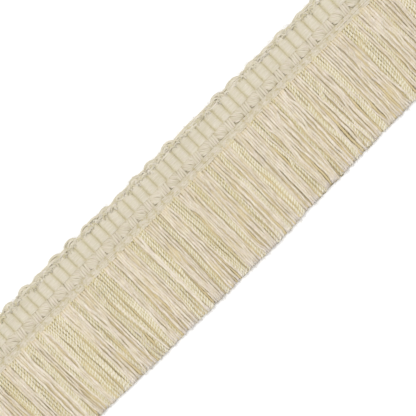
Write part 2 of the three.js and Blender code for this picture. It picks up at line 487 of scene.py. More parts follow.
# The small dark hole at the lower left of each leaf-shaped bundle, from the groove that the leaf hangs on,
# sunk towards its bottom by a random share; its darkness is painted shade from the ground's height as well
# as its depth
EYE = {"x": -1.15, "down": 2.35, "rim": 0.1, "radius": 0.36, "bottom": 0.9, "sunk": (0.2, 1.0)}
# Painted shade on the ground: darker the further its face lies below this height, between these bounds,
# and this much on its back
GROUND_SHADE_Z = 2.1
GROUND_FACE_SHADE = (0.35, 1)
GROUND_BACK_SHADE = 0.4
# Its grain is drawn out along the trim
GROUND_GRAIN = (0.3, 1, 1)


def ground_heights(side, down, hump):
    """The height of the ground cloth's face or back over a grid of places down the heading and along it."""
    rows = [row["down"] for row in GROUND_ROWS]
    valley = np.interp(down, rows, [row[side][0] for row in GROUND_ROWS])
    crown = np.interp(down, rows, [row[side][1] for row in GROUND_ROWS])
    return valley[:, None] + (crown - valley)[:, None] * hump[None, :]


def with_eyes(rng, face, x, y):
    """The ground's face with the small holes sunk into it."""
    for k in range(1, REPEATS):
        away = np.hypot(x[None, :] - rib_x(2 * k) - EYE["x"], y[:, None] - RIB_FOOT_Y + EYE["down"])
        inside = 1 - smooth(EYE["rim"], EYE["radius"], away)
        face = face - rng.uniform(*EYE["sunk"]) * (face - EYE["bottom"]) * inside
    return face


def sheet_faces(rows, columns):
    """The faces of a closed sheet, whose points are a grid of its face and then one of its back."""
    number = np.arange(rows * columns).reshape(rows, columns)
    under = number + rows * columns
    return np.concatenate([
        np.stack([number[:-1, :-1], number[1:, :-1], number[1:, 1:], number[:-1, 1:]], -1).reshape(-1, 4),
        np.stack([under[:-1, :-1], under[:-1, 1:], under[1:, 1:], under[1:, :-1]], -1).reshape(-1, 4),
        np.stack([number[0, :-1], number[0, 1:], under[0, 1:], under[0, :-1]], -1),
        np.stack([number[-1, 1:], number[-1, :-1], under[-1, :-1], under[-1, 1:]], -1),
        np.stack([number[1:, 0], number[:-1, 0], under[:-1, 0], under[1:, 0]], -1),
        np.stack([number[:-1, -1], number[1:, -1], under[1:, -1], under[:-1, -1]], -1),
    ])


def ground_sheet(rng):
    """The heading's ground cloth: a thin closed sheet, ribbed on both sides, that all the yarns lie on."""
    phase = np.arange(RIBS * GROUND_STEPS + 1) / GROUND_STEPS
    x = rib_x(phase)
    down = np.arange(GROUND_ROWS[0]["down"], GROUND_ROWS[-1]["down"] + 0.01, GROUND_ROW_STEP)
    y = RIB_HEAD_Y - down
    hump = np.abs(np.sin(math.pi * phase)) ** GROUND_HUMP_POWER
    face = with_eyes(rng, ground_heights("face", down, hump), x, y)
    back = ground_heights("back", down, hump)
    grid_x, grid_y = np.meshgrid(x, y)
    points = np.concatenate([np.stack([grid_x, grid_y, z], -1).reshape(-1, 3) for z in (face, back)])
    # Painted shade, from the face's height, and evenly on the back
    face_shade = np.clip(GROUND_SHADE_Z - face, *GROUND_FACE_SHADE).ravel()
    hollow = np.concatenate([face_shade, np.full(back.size, GROUND_BACK_SHADE)])
    return finished(
        add_mesh(
            "heading_ground", points, sheet_faces(*face.shape), (), HEADING_COTTON,
            tone=np.zeros(len(points)), hollow=hollow, grain=points * GROUND_GRAIN,
        ),
    )


# The looped edge: big loops over every second groove, and the small turns of yarn that fill it
LOOP_YARNS = [
    {"half_width": 2.5, "height": 1.55, "z": 0.75, "radius": 0.42},
    {"half_width": 1.9, "height": 1.2, "z": 1.15, "radius": 0.4},
    {"half_width": 1.1, "height": 0.8, "z": 1.4, "radius": 0.38},
]
LOOP_STEPS = 20
# The loops that show in the photograph, from the sixth on: how far the crest lies along the trim from the
# groove, and across it from the picture's centre, in the photograph's pixels
LOOP_CRESTS = [
    (0.9, 76.2), (-0.6, 75.2), (-1.2, 76.0), (0.2, 76.5), (-0.5, 76.0), (1.8, 75.5), (-2.0, 74.2),
    (-0.9, 75.2), (-2.0, 75.6), (0.3, 76.7), (2.5, 73.6), (-2.8, 74.7), (-0.9, 76.0), (0.9, 74.8),
    (2.5, 74.5), (1.4, 74.0), (-2.0, 74.8), (2.0, 74.9),
]
FIRST_LOOP = 6
# The other loops' crests are random: the spread of their places, in pixels, and their reaches
CREST_SPREAD = 1.5
LOOP_REACHES = (1.4, 2.2)
# How much higher than its feet a loop's crest is, and the lowest that a turn's middle lies
LOOP_RISE = 0.3
LOWEST_TURN = 0.52
LOOP_WOBBLE = 0.04
# The small turns: how many, and their random half widths, radii, tones, painted shade and how far below the
# ribs' heads they start. The highest ones hold the heads, and the lowest reach furthest out
SMALL_TURNS = 6 * RIBS
TURN_STEPS = 9
TURN = {
    "half_width": (0.4, 1.1), "radius": (0.25, 0.42), "tone": (-2.2, 0.6), "deep": (-0.7, 0.4),
    "below_heads": (0.45, 1.1), "reach_share": (0.1, 1.0), "highest": 1.95, "fall": 0.75, "wobble": 0.07,
}
# How far the edge lies beyond the ribs' heads between two loops
EDGE_TROUGH = 1.35
# Cords along the edge; their last number is painted shade, and below 0 it takes from the painted shade on
# their sides
EDGE_CORDS = [
    {"out": 0.85, "z": 0.9, "radius": 0.42, "tone": -0.8, "deep": 0.0},
    {"out": 0.25, "z": 1.35, "radius": 0.42, "tone": -0.4, "deep": -0.3},
    {"out": -0.35, "z": 1.48, "radius": 0.38, "tone": 0.0, "deep": -0.3},
]
# Steps for each rib of the cords and warps that run the whole length
LONG_STEPS = 8


def loop_arc(centre, base, half_width, height, z, sweep, wobble):
    """A turn of yarn that rises beyond the edge and comes back."""
    x = centre + half_width * np.cos(sweep) + wobble[0]
    y = base + height * np.sin(sweep) + wobble[1]
    return np.stack([x, y, np.maximum(z + LOOP_RISE * np.sin(sweep), LOWEST_TURN)], -1)


def crests(rng):
    """Each loop's crest, as its x and how far it reaches beyond the ribs' heads, also at both ends."""
    shifts = rng.normal(0, CREST_SPREAD, REPEATS + 1)
    reaches = rng.uniform(*LOOP_REACHES, REPEATS + 1)
    for k, (shift, across) in enumerate(LOOP_CRESTS, FIRST_LOOP):
        shifts[k] = shift
        reaches[k] = across * MM_PER_PIXEL + VIEW_CENTRE[1] - RIB_HEAD_Y
    return rib_x(2 * np.arange(REPEATS + 1)) + shifts * MM_PER_PIXEL, reaches


def big_loop(rng, crest_x, size):
    """One loop of the edge, of a few yarns side by side."""
    paths = []
    for yarn in LOOP_YARNS:
        sweep = np.radians(np.linspace(rng.uniform(180, 215), rng.uniform(-35, 0), LOOP_STEPS))
        wobble = np.cumsum(LOOP_WOBBLE * rng.standard_normal((2, LOOP_STEPS)), axis=1)
        centre = crest_x + rng.normal(0, 0.2)
        base = RIB_HEAD_Y + rng.normal(0, 0.1)
        half_width = yarn["half_width"] * rng.uniform(0.8, 1.05)
        z = yarn["z"] + 0.1 * rng.standard_normal()
        paths.append(loop_arc(centre, base, half_width, yarn["height"] * size, z, sweep, wobble))
    radii = column([yarn["radius"] for yarn in LOOP_YARNS]) * rng.uniform(0.85, 1.15, (len(paths), 1))
    return tubes(paths, radii, sides=9, lobes=3, groove=0.2, pitch=2.6, spin=rng.uniform(0, 6, len(paths)),
                 tone=rng.uniform(-1, 0.8, len(paths)))


def small_turns(rng, reaches):
    """The small turns of yarn that fill the edge."""
    paths = []
    for place in np.linspace(0.4, RIBS - 0.4, SMALL_TURNS) + rng.normal(0, 0.15, SMALL_TURNS):
        crest = 0.5 + 0.5 * math.cos(math.pi * place)
        out = EDGE_TROUGH + (reaches[round(place / 2)] - 0.3 - EDGE_TROUGH) * crest
        sweep = np.radians(np.linspace(rng.uniform(150, 230), rng.uniform(-60, 30), TURN_STEPS))
        share = rng.uniform(*TURN["reach_share"])
        base = RIB_HEAD_Y - rng.uniform(*TURN["below_heads"])
        height = RIB_HEAD_Y + share * out - 0.35 - base
        half_width = rng.uniform(*TURN["half_width"])
        z = TURN["highest"] - TURN["fall"] * share
        wobble = TURN["wobble"] * rng.standard_normal((2, TURN_STEPS))
        paths.append(loop_arc(rib_x(place), base, half_width, height, z, sweep, wobble))
    radii = rng.uniform(*TURN["radius"], (len(paths), 1))
    return tubes(paths, radii, sides=6, lobes=3, groove=0.2, pitch=2.2,
                 spin=rng.uniform(0, 6, len(paths)), tone=rng.uniform(*TURN["tone"], len(paths)),
                 deep=rng.uniform(*TURN["deep"], (len(paths), 1)))


def edge_cord(rng, cord):
    """A cord along the edge, over some of the loops and under others."""
    phase = np.linspace(0, RIBS, RIBS * LONG_STEPS + 1)
    y = RIB_HEAD_Y + cord["out"] + 0.18 * wander(rng, 0.5)(phase)
    z = cord["z"] + 0.12 * wander(rng, 0.6)(phase)
    path = np.stack([rib_x(phase), y, z], -1)[None]
    return tubes(path, cord["radius"], sides=6, lobes=3, groove=0.15, pitch=2.4, tone=cord["tone"],
                 deep=cord["deep"])


def edge_loops(rng):
    """The loops that turn out beyond the ribs' heads, over every second groove, and the yarns among them."""
    crest_x, reaches = crests(rng)
    sizes = (reaches - LOOP_YARNS[0]["radius"]) / LOOP_YARNS[0]["height"]
    loops = [big_loop(rng, crest_x[k], sizes[k]) for k in range(1, REPEATS)]
    turns = small_turns(rng, reaches)
    return loops + [turns] + [edge_cord(rng, cord) for cord in EDGE_CORDS]


# The yarns of one leaf-shaped bundle, uppermost first: places along the trim, from the groove that it hangs
# on, and below the ribs' feet
LEAF_YARNS = [
    {"x": (1.5, 2.2, 2.75, 2.95, 3.0), "down": (0.0, 0.15, 0.6, 1.2, 3.0)},
    {"x": (0.4, 1.3, 2.35, 2.75, 2.8), "down": (0.0, 0.25, 0.85, 1.55, 3.1)},
    {"x": (-0.35, 0.55, 1.75, 2.45, 2.5), "down": (0.0, 0.5, 1.15, 1.8, 3.2)},
    {"x": (-0.95, 0.1, 1.35, 2.0, 2.05), "down": (0.05, 0.75, 1.5, 2.2, 3.3)},
    {"x": (-1.35, -0.35, 0.85, 1.5, 1.6), "down": (0.35, 1.05, 1.9, 2.6, 3.4)},
    {"x": (-1.5, -0.75, 0.4, 1.1, 1.2), "down": (0.85, 1.45, 2.2, 2.8, 3.5)},
    {"x": (-1.55, -0.95, 0.0, 0.65, 0.75), "down": (1.35, 1.85, 2.4, 2.9, 3.5)},
    {"x": (-1.0, -0.65, -0.2, 0.3, 0.7), "down": (2.4, 2.6, 2.75, 2.95, 3.5)},
]
LEAF_HEIGHTS = (1.25, 1.75, 1.9, 1.75, 1.35)
LEAF_RADIUS = 0.4
LEAF_STEPS = 15
LEAF_NUDGE = 0.1
# The most painted shade at the ends of a leaf's yarns
LEAF_END_SHADE = (0.5, 1.0)
# The upright yarns between two leaves, from the groove that the first leaf hangs on
UPRIGHT_YARNS = 4
UPRIGHT_FROM = 2.85
UPRIGHT_PITCH = 0.78
UPRIGHT_RADIUS = 0.5
UPRIGHT_STEPS = 11
# The painted shade at the ends of the upright yarns
UPRIGHT_END_SHADE = 0.7


def deep_ends(steps, most):
    """How much painted shade a yarn gets at both ends, where it goes under others."""
    return most * np.abs(np.linspace(-1, 1, steps)) ** 3


def leaf_bundle(rng, groove_x):
    """One slanted leaf-shaped bundle."""
    paths = []
    nudge = rng.normal(0, LEAF_NUDGE, 2)
    for yarn in LEAF_YARNS:
        points = np.stack([
            groove_x + np.array(yarn["x"]) + nudge[0] + rng.normal(0, 0.05, 5),
            RIB_FOOT_Y - np.array(yarn["down"]) + nudge[1] + rng.normal(0, 0.04, 5),
            np.array(LEAF_HEIGHTS) + rng.normal(0, 0.04, 5),
        ], -1)
        paths.append(smooth_path(points, LEAF_STEPS))
    radii = LEAF_RADIUS * rng.uniform(0.9, 1.12, (len(paths), 1))
    return tubes(paths, radii, sides=8, lobes=2, groove=0.1, pitch=6.0, flat=0.85,
                 spin=rng.uniform(0, 6, len(paths)), tone=rng.uniform(-0.5, 1, len(paths)),
                 deep=deep_ends(LEAF_STEPS, rng.uniform(*LEAF_END_SHADE)))


def upright_bundle(rng, groove_x):
    """The upright yarns between two leaf-shaped bundles."""
    paths = []
    for i in range(UPRIGHT_YARNS):
        x = groove_x + UPRIGHT_FROM + (i + 0.15) * UPRIGHT_PITCH + rng.normal(0, 0.03)
        lean = rng.normal(0.15, 0.08)
        height = 0.06 * rng.standard_normal()
        points = [
            (x + 1.6 * lean, RIB_FOOT_Y + 0.3, 1.1),
            (x + 1.2 * lean, RIB_FOOT_Y - 0.45, 1.6 + height),
            (x + 0.2 * lean, RIB_FOOT_Y - 1.6, 1.8 + height),
            (x - 0.6 * lean, LEAF_FOOT_Y + 0.2, 1.75 + height),
            (x - 0.6 * lean, LEAF_FOOT_Y - 0.8, 1.35),
        ]
        paths.append(smooth_path(points, UPRIGHT_STEPS))
    radii = UPRIGHT_RADIUS * rng.uniform(0.95, 1.08, (len(paths), 1))
    return tubes(paths, radii, sides=8, lobes=2, groove=0.06, pitch=6.0, flat=0.6,
                 spin=rng.uniform(0, 6, len(paths)), tone=rng.uniform(-0.6, 0.6, len(paths)),
                 deep=deep_ends(UPRIGHT_STEPS, UPRIGHT_END_SHADE))


def leaf_row(rng):
    """The row below the ribs: slanted leaf-shaped bundles with upright bundles between them."""
    parts = []
    for k in range(REPEATS):
        groove_x = rib_x(2 * k)
        if k:
            parts.append(leaf_bundle(rng, groove_x))
        parts.append(upright_bundle(rng, groove_x))
    return parts


ANCHOR_WARPS = 7
ANCHOR_RADIUS = 0.27
# The first warp lies this far below the row of bundles, and their pitch leaves this much of the band over
ANCHOR_FROM = 0.2
ANCHOR_GAP = 0.1
ANCHOR_Z = 1.76
# They rise over the bundles of fringe yarns, one for each rib and this share of a rib along from it
ANCHOR_HUMP = 0.22
ANCHOR_HUMP_PLACE = 0.65
# How much painted shade they get between the bundles, and how unevenly
ANCHOR_SHADE = 0.9
ANCHOR_SHADE_SPREAD = 0.35
ANCHOR_TONES = (-0.5, 0.5)


def anchor_warps(rng):
    """The warps of the anchor band, which lie over the bundles of yarn that become the fringe."""
    phase = np.linspace(0, RIBS, RIBS * LONG_STEPS + 1)
    x = rib_x(phase)
    pitch = (ANCHOR_BAND - ANCHOR_GAP) / ANCHOR_WARPS
    hump = np.abs(np.sin(math.pi * (phase + ANCHOR_HUMP_PLACE))) ** 0.5
    paths = []
    for i in range(ANCHOR_WARPS):
        y = LEAF_FOOT_Y - ANCHOR_FROM - i * pitch + 0.04 * wander(rng, 1.5)(phase)
        y = y + 0.02 * rng.standard_normal(len(x))
        z = ANCHOR_Z + ANCHOR_HUMP * hump + 0.03 * wander(rng, 0.5)(phase)
        paths.append(np.stack([x, y, z], -1))
    deep = ANCHOR_SHADE * (1 - hump) + ANCHOR_SHADE_SPREAD * rng.standard_normal((ANCHOR_WARPS, len(x)))
    tone = rng.uniform(*ANCHOR_TONES, ANCHOR_WARPS)
    return [tubes(paths, ANCHOR_RADIUS, sides=6, flat=0.65, tone=tone, deep=deep)]


# Fringe

# The fringe's places were read off in pixels, along the trim and across it from the picture's centre
def along(u):
    """The x of a place that many pixels along the trim."""
    return VIEW_CENTRE[0] + MM_PER_PIXEL * np.asarray(u, dtype=float)


def below_roots(v):
    """How far below the fringe's roots a place that many pixels down across the trim lies."""
    return ROOT_Y - VIEW_CENTRE[1] + MM_PER_PIXEL * np.asarray(v, dtype=float)


# Stretches along the trim where hard-twisted yarns lie on top, in pixels
TWISTED = [
    (-330, -322), (-304, -297), (-271, -265), (-253, -245), (-231, -221), (-213, -209), (-203, -180),
    (-165, -160), (-142, -139), (-137, -117), (-110, -107), (-84, -75), (-69, -62), (-45, -41), (-26, -14),
    (3, 8), (25, 32), (43, 48), (61, 69), (88, 98), (121, 124), (141, 147), (157, 168), (179, 188),
    (221, 233), (237, 240), (262, 265), (282, 290), (306, 312), (325, 330),
]

# Partings of the fringe, where its strands lie open down to the ones below: along the trim and across it at
# the upper end, the same at the lower end, and the width, in pixels
PARTINGS = [
    (-284, -10, -284, 10, 2.5), (-273, -18, -270, 22, 3), (-252, -32, -252, 10, 2), (-247, 0, -246, 12, 2.5),
    (-244, -18, -243, 12, 2), (-243, 30, -243, 50, 2), (-240, 8, -240, 55, 2), (-235, 14, -235, 60, 3),
    (-232, -18, -229, 12, 2), (-227, -20, -227, -5, 2), (-219, -20, -220, -7, 2.5), (-222, 0, -222, 35, 2),
    (-219, 38, -219, 50, 2), (-223, 55, -223, 68, 2.5), (-218, 55, -217, 68, 2), (-214, 53, -213, 68, 2.5),
    (-203, -22, -204, 42, 2.5), (-202, 22, -200, 49, 3), (-199, 50, -198, 72, 3), (-196, -15, -194, 6, 1.5),
    (-193, 48, -192, 62, 2), (-187, -32, -187, -4, 2), (-190, 4, -187, 68, 2.5), (-182, -20, -181, 62, 2.5),
    (-177, -26, -176, -5, 2), (-175, 22, -174, 50, 2), (-171, 8, -170, 72, 2.5), (-165, -16, -165, 6, 2),
    (-162, -32, -162, -10, 2), (-162, 16, -159, 72, 2.8), (-166, 38, -164, 70, 2.5),
    (-151, -28, -151, -14, 2),
    (-155, -5, -154, 42, 2), (-150, 8, -148, 72, 2.5), (-143, -5, -142, 28, 1.5), (-144, 58, -144, 72, 2),
    (-138, -6, -132, 54, 2.8), (-136, 48, -134, 72, 2), (-126, -10, -126, 38, 1.6), (-126, 38, -125, 64, 2),
    (-128, -32, -127, -26, 2), (-115, 42, -115, 56, 2.2), (-106, -26, -105, -4, 2),
    (-108, 52, -108, 72, 2.5),
    (-103, 36, -102, 60, 1.8), (-98, 24, -98, 44, 1.6), (-91, -26, -90, -10, 1.8), (-86, 34, -86, 46, 2.6),
    (-82, 62, -82, 74, 2.5), (-76, -22, -75, 10, 2), (-74, 32, -74, 74, 3), (-72, -32, -71, -20, 2),
    (-69, -18, -69, -4, 2.6), (-67, 0, -66, 30, 2), (-62, 26, -64, 72, 3), (-70, 58, -70, 74, 2),
    (-52, -22, -52, 12, 1.8), (-54, 18, -54, 48, 2), (-49, -32, -49, -15, 1.8), (-38, -31, -40, -4, 2.4),
    (-28, -20, -28, 16, 2.5), (-28, 24, -25, 72, 2.2), (-17, -16, -17, -4, 2), (-11, -6, -14, 22, 2.4),
    (-20, 18, -19, 52, 1.8), (-16, 48, -15, 72, 2), (-5, 26, -5, 55, 2.8), (-3, -31, -5, -12, 2.2),
    (-2, -15, -1, 6, 2), (2, -12, 3, 74, 3.2), (8, -2, 8, 16, 2), (15, -22, 15, -8, 2), (14, 0, 11, 62, 2.4),
    (19, -16, 18, 6, 2.5), (21, -32, 21, -24, 2.4), (22, 0, 22, 55, 2), (16, 34, 17, 68, 2.6),
    (27, 38, 30, 68, 3.2), (33, -2, 34, 47, 2.4), (38, -4, 38, 74, 3.4), (44, -32, 43, -22, 2.4),
    (43, -13, 43, 3, 2), (47, -8, 47, 3, 2), (51, 20, 51, 42, 2.6), (52, -6, 52, 8, 1.6),
    (59, 28, 59, 72, 3),
    (64, 16, 63, 68, 2), (67, -32, 67, -23, 2), (75, -23, 75, -14, 2.5), (74, -6, 71, 72, 3.2),
    (77, 40, 76, 68, 3), (88, -4, 91, 23, 2.2), (95, 46, 95, 56, 2), (99, -6, 98, 16, 2.4),
    (101, -22, 100, -10, 2.6), (102, 26, 102, 46, 2.5), (106, 30, 107, 66, 3), (111, -6, 111, 26, 2.8),
    (115, -30, 115, -20, 2), (115, -14, 116, 50, 2.6), (127, 4, 126, 12, 2.6), (130, 8, 129, 20, 2),
    (121, 12, 122, 72, 2.6), (130, 54, 130, 72, 3), (138, -32, 136, -18, 2.6), (135, -10, 134, 32, 2),
    (138, 0, 138, 52, 2), (142, -14, 142, -4, 2), (147, -16, 146, 6, 2), (144, 8, 145, 36, 2.4),
    (149, 36, 149, 62, 2.6), (153, 34, 153, 46, 2), (142, 40, 140, 70, 2.5), (156, 8, 156, 52, 2),
    (161, -32, 162, -24, 2), (162, 2, 162, 42, 2), (166, 38, 166, 56, 2), (170, -22, 171, 16, 2),
    (171, 28, 171, 72, 2.5), (175, -20, 175, -4, 2.6), (176, 34, 178, 62, 3), (184, -32, 184, -25, 2),
    (187, 46, 188, 60, 2), (190, 18, 190, 62, 2.4), (208, -32, 208, -26, 2), (206, -22, 207, 2, 2.4),
    (213, -6, 213, 14, 2), (208, 28, 208, 60, 2.4), (212, 40, 212, 52, 2), (203, 58, 204, 72, 2),
    (222, -8, 218, 62, 2.8), (228, -16, 226, 2, 2.4), (234, 16, 228, 66, 2.6), (230, -32, 230, -26, 2),
    (243, -32, 243, -14, 2), (245, 4, 244, 48, 2.2), (241, 26, 241, 40, 2), (252, -22, 252, -9, 2.8),
    (254, 3, 253, 20, 2.6), (270, -20, 270, 8, 2.4), (274, -22, 274, -8, 2.4), (278, -10, 275, 14, 2),
]
STRANDS_IN_A_BUNDLE = 4
STRAND_RADIUS = 0.48
# How far each side of a parting draws back from its line, as a share of the width that looks dark
PARTING_SHARE = 0.16
# Strands that start further from a parting than this aren't moved by it
PARTING_REACH = 9
# The parting between the bundles at every second groove, just below the anchor band, in millimetres
ROOT_PARTING = {"from": -0.6, "to": 0.9, "width": 0.7, "lengths": (0.3, 1.6), "widths": (0.6, 1.1)}
# The strands' upper ends lie this far up under the anchor band, and they end short of the solids' tips
STRAND_START = 0.9
TIP_SHORT = 0.35
# The tips draw back along a flat curve away from this place left of the middle
TIP_BOW = 0.000238
TIP_BOW_LEFT = 8
TIP_BOW_REACH = 62.0
# How far strands drift to the side together, and how they wave on their own
DRIFT = 0.28
STRAND_WAVES = [{"size": 0.045, "length": 6.5}, {"size": 0.0225, "length": 3.0}]
# How much a bundle is pressed together where it comes out of the anchor band, and over which length
BUNDLE_PRESS = 0.05
BUNDLE_LENGTH = 2.5
SPREAD_ROUNDS = 8
KINK_REACH = 0.8
# No strand's middle lies lower than this, so that none sinks into the surface below
LOWEST_MIDDLE = 0.62
# How far strands dip at their roots and, as a share of their height, droop at their tips
ROOT_DIP = 0.3
TIP_DROOP = 0.45
DROOP_LENGTH = 4.5
# The painted shade on strands that lie lower than their neighbours, and how much paler the tips are
# painted, taking painted shade away where they catch the light
LOW_SHADE = 1.4
MOST_LOW_SHADE = 0.3
TIP_PALENESS = 0.35
TWIST_PITCH = 2.15


def fringe_roots():
    """Where the top strands leave the anchor band: a bundle of strands below each rib, pressed together."""
    grooves = rib_x(np.arange(RIBS + 1))
    place = (np.arange(STRANDS_IN_A_BUNDLE) + 0.5) / STRANDS_IN_A_BUNDLE
    return (grooves[:-1, None] + np.diff(grooves)[:, None] * place[None, :]).ravel()


def all_partings(rng):
    """All partings in millimetres: the upper end's x and depth, the lower end's, and the width."""
    read = [(along(u0), below_roots(v0), along(u1), below_roots(v1), width * MM_PER_PIXEL)
            for u0, v0, u1, v1, width in PARTINGS]
    at_roots = []
    for k in range(1, REPEATS):
        x = rib_x(2 * k) + rng.normal(0, 0.15)
        depth = ROOT_PARTING["to"] * rng.uniform(*ROOT_PARTING["lengths"])
        width = ROOT_PARTING["width"] * rng.uniform(*ROOT_PARTING["widths"])
        at_roots.append((x, ROOT_PARTING["from"], x, depth, width))
    return read + at_roots


def part_strands(x, depth, partings):
    """The strands pushed apart along the partings, each to the side of a parting that it lies on."""
    for x0, upper, x1, lower, width in partings:
        near = np.abs(x[:, 0] - (x0 + x1) / 2) < PARTING_REACH
        at = depth[near]
        line = x0 + (x1 - x0) * np.clip((at - upper) / (lower - upper), 0, 1)
        window = smooth(upper - 1.5, upper + 1.0, at) * (1 - smooth(lower - 1.0, lower + 2.5, at))
        away = x[near] - line
        side = np.sign((away * window).sum(axis=1, keepdims=True))
        half = PARTING_SHARE * width + STRAND_RADIUS - 0.05
        x[near] += side * window * np.clip(half * window - side * away, 0, None)
    return x


def even_out(x, step):
    """The strands with the kinks between their steps smoothed away."""
    for _ in range(round(2 * (KINK_REACH / step) ** 2)):
        x[:, 1:-1] = 0.25 * x[:, :-2] + 0.5 * x[:, 1:-1] + 0.25 * x[:, 2:]
    return x


def strand_tips(rng, roots, ragged):
    """The y of the strands' tips."""
    bow = TIP_BOW * np.clip(np.abs(roots + TIP_BOW_LEFT), 0, TIP_BOW_REACH) ** 2
    shorter = np.abs(rng.normal(0, ragged, len(roots)))
    return TIP_Y + TIP_SHORT + bow + shorter + 0.15 * wander(rng, 5.0)(roots)


def pressed_together(x, roots, depth):
    """The strands with those of a bundle still pressed together just below the anchor band."""
    grooves = rib_x(np.arange(RIBS + 1))
    bundle = np.clip(np.searchsorted(grooves, roots) - 1, 0, RIBS - 1)
    centre = (grooves[bundle] + grooves[bundle + 1])[:, None] / 2
    return x + BUNDLE_PRESS * np.exp(-np.clip(depth, 0, None) / BUNDLE_LENGTH) * (centre - x)


def spread_out(x, depth, least, partings):
    """The strands at least that far apart, and parted."""
    for _ in range(SPREAD_ROUNDS):
        short = np.clip(least - np.diff(x, axis=0), 0, None) / 2
        x[:-1] -= short
        x[1:] += short
        x = part_strands(x, depth, partings)
    return x


def waved(rng, x, depth):
    """The strands with small waves of their own."""
    for wave in STRAND_WAVES:
        length = wave["length"] * rng.uniform(0.75, 1.3, (len(x), 1))
        start = rng.uniform(0, 2 * math.pi, (len(x), 1))
        x = x + wave["size"] * np.clip(depth / 5, 0.1, 1) * np.sin(2 * math.pi * depth / length + start)
    return x


def strand_lines(rng, roots, steps, lean=0.2, least=0.68, partings=(), ragged=0.18):
    """The x and y of strands from under the anchor band to their tips, which sway together and part."""
    top = ROOT_Y + STRAND_START
    tip = strand_tips(rng, roots, ragged)
    y = top + (tip[:, None] - top) * np.linspace(0, 1, steps)[None, :]
    depth = ROOT_Y - y
    loose = smooth(-0.5, 16.0, depth) ** 0.8
    sway = wander(rng, 5.0, 9.0)
    own_lean = rng.normal(0, lean, (len(roots), 1))
    x = roots[:, None] + loose * (DRIFT * sway(roots[:, None], depth) + own_lean * depth / 15)
    x = spread_out(pressed_together(x, roots, depth), depth, least, partings)
    x = waved(rng, even_out(x, (top - TIP_Y) / steps), depth)
    limit = LENGTH / 2 - 0.3
    return np.clip(x, -limit, limit), y


def laid(rng, x, y, z, alternate=0.1):
    """Strands laid about that high, by turns a little higher and lower, which droop at their tips."""
    depth = ROOT_Y - y
    turn = np.where(np.arange(len(x)) % 2, alternate, -alternate)[:, None]
    level = turn * wander(rng, 2.0, 6.0)(x, depth) + 0.08 * wander(rng, 1.3, 4.0)(x, depth)
    end = depth.max(axis=1, keepdims=True)
    droop = TIP_DROOP * z * smooth(end - DROOP_LENGTH, end + 0.5, depth)
    height = z - ROOT_DIP * (1 - smooth(-0.6, 1.4, depth)) + level * smooth(-0.5, 3.0, depth) - droop
    return np.stack([x, y, np.maximum(height, LOWEST_MIDDLE)], -1)


def shade_of(paths, z):
    """How much painted shade strands get where they are lower than that height, standing for the shade of
    their neighbours. At their tips they droop together and catch the light, so painted shade is taken away
    there and they are painted paler than elsewhere."""
    left = paths[..., 1] - TIP_Y
    low = np.clip(LOW_SHADE * (z - paths[..., 2]), 0, MOST_LOW_SHADE)
    return low * smooth(3, 6, left) - TIP_PALENESS * (1 - smooth(0, 3.5, left))


def twisted_yarns(rng, paths):
    """Hard-twisted yarns of two plies."""
    count, steps = paths.shape[:2]
    size = 1.12 * STRAND_RADIUS * rng.uniform(0.9, 1.1, (count, 1))
    pitch = TWIST_PITCH * rng.uniform(0.85, 1.15, count)
    return tubes(paths, size, sides=8, lobes=2, groove=0.32, pitch=pitch, spin=rng.uniform(0, 6, count),
                 tone=rng.uniform(-1, 1, count), deep=shade_of(paths, TOP_Z_MIDDLE),
                 uneven=1 + 0.03 * rng.standard_normal((count, steps, 8)))


def soft_yarns(rng, paths, radius=STRAND_RADIUS, sides=7, deep=0.0, swollen=1.0):
    """Softly twisted yarns, of uneven thickness."""
    count, steps = paths.shape[:2]
    t = np.linspace(0, 1, steps)[None, :]
    slub = 1 + 0.08 * np.sin(t * rng.uniform(15, 45, (count, 1)) + rng.uniform(0, 6, (count, 1)))
    size = radius * rng.uniform(0.8, 1.2, (count, 1)) * slub
    return tubes(paths, size, sides=sides, lobes=2, groove=0.1, pitch=rng.uniform(5, 9, count), flat=0.8,
                 spin=rng.uniform(0, 6, count), tone=rng.uniform(-1.1, 0.9, count), deep=deep,
                 uneven=swollen * (1 + 0.1 * rng.standard_normal((count, steps, sides))))


def is_twisted(x):
    """Which of those places along the trim have a hard-twisted yarn on top."""
    return np.any([(x >= along(low)) & (x <= along(high)) for low, high in TWISTED], axis=0)


TOP_STEPS = 97
TOP_Z_MIDDLE = 1.95
SECOND_Z_MIDDLE = 1.5


def top_layers(rng):
    """The paths of the twisted strands that show, of the soft ones that show, and of those just under them,
    each of which fills the gap between two of the top ones."""
    roots = fringe_roots()
    x, y = strand_lines(rng, roots, TOP_STEPS, partings=all_partings(rng))
    paths = laid(rng, x, y, TOP_Z_MIDDLE)
    twisted = is_twisted(roots)
    gap_x = ((x[:-1] + x[1:]) / 2)[:, ::2]
    gap_y = ((y[:-1] + y[1:]) / 2)[:, ::2] + rng.uniform(-0.1, 0.4, (len(x) - 1, 1))
    return paths[twisted], paths[~twisted][:, ::2], laid(rng, gap_x, gap_y, SECOND_Z_MIDDLE, alternate=0.05)


def top_soft_yarns(rng, paths):
    """The top layer's soft yarns, which are fuller just below the heading and in places matted there."""
    mat = wander(rng, 4.0, 6.0)
    depth = ROOT_Y - paths[..., 1]
    matted = smooth(-0.4, 1.2, mat(paths[..., 0], depth))
    swollen = 1 + (0.08 + 0.25 * matted) * (1 - smooth(4, 16, depth))
    return soft_yarns(rng, paths, deep=shade_of(paths, TOP_Z_MIDDLE), swollen=swollen[:, :, None])


def second_yarns(rng, paths):
    """The yarns in the gaps of the top layer, with painted shade that grows away from the heading."""
    depth = ROOT_Y - paths[..., 1]
    return soft_yarns(rng, paths, radius=0.5, sides=6, deep=0.2 + 0.4 * smooth(0, 12, depth))


STRAYS = 28
STRAY_STEPS = 56
STRAY_RADIUS = 0.38
